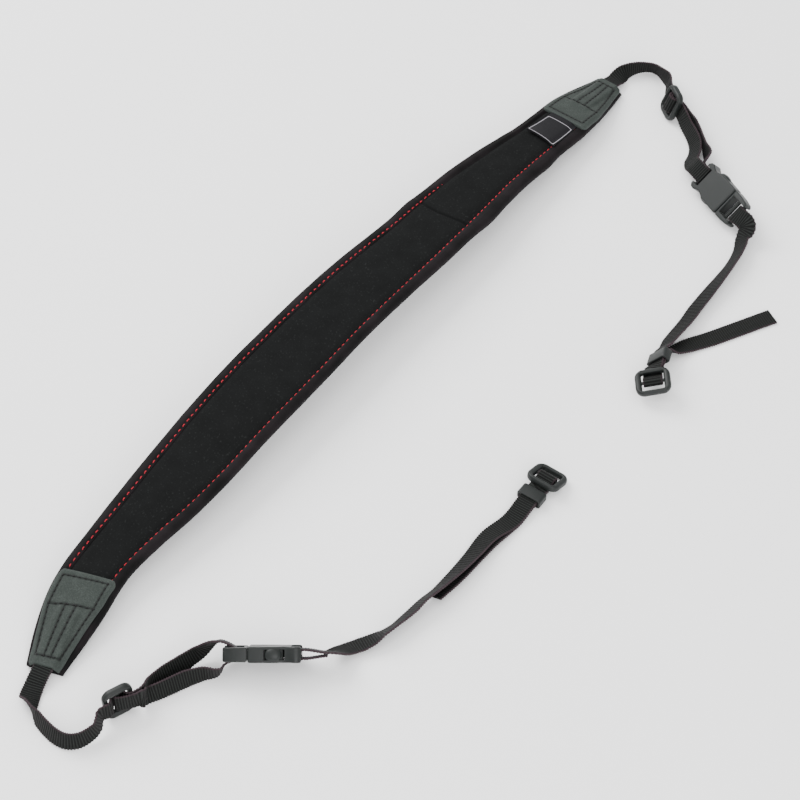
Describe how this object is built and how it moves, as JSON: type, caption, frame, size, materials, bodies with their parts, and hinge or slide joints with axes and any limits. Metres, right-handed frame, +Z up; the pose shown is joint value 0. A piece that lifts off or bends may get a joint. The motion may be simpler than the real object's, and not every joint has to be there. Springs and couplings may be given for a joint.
{
  "type": "camera neck strap",
  "caption": "Padded camera neck strap laid out flat: arched bound pad, stitched end patches, webbing leads with sliders, side-release buckles, and tails with keepers and tri-glides.",
  "frame": {"origin": "on the surface the strap lies on, under the middle of the strap's bounding box", "axes": "+X along the neck pad from the near end to the far end, +Y towards the side the pad bows to, away from the tails, +Z up"},
  "size_m": [0.5538, 0.2076, 0.0264],
  "materials": {
    "pad_fabric": "near-black brushed stretch fabric over foam",
    "binding_fabric": "black smooth knitted binding",
    "patch_leather": "dark grey-green matt suede-like leather",
    "label_fabric": "black woven tape with a thin pale border",
    "webbing": "dark grey cross-ribbed woven webbing",
    "black_plastic": "dark grey moulded plastic, satin"
  },
  "bodies": {
    "root": {"neck_pad": "pad_fabric", "edge_binding_outer": "binding_fabric", "edge_binding_inner": "binding_fabric", "label_tab": "label_fabric", "end_patch_near": "patch_leather", "end_patch_far": "patch_leather", "lead_web_near": "webbing", "lead_web_far": "webbing", "tail_web_near": "webbing", "tail_web_far": "webbing", "slider_near": "black_plastic", "slider_far": "black_plastic", "keeper_near": "black_plastic", "keeper_far": "black_plastic", "triglide_near": "black_plastic", "triglide_far": "black_plastic", "buckle_female_near": "black_plastic", "buckle_male_near": "black_plastic", "buckle_female_far": "black_plastic", "buckle_male_far": "black_plastic"}
  },
  "joints": []
}
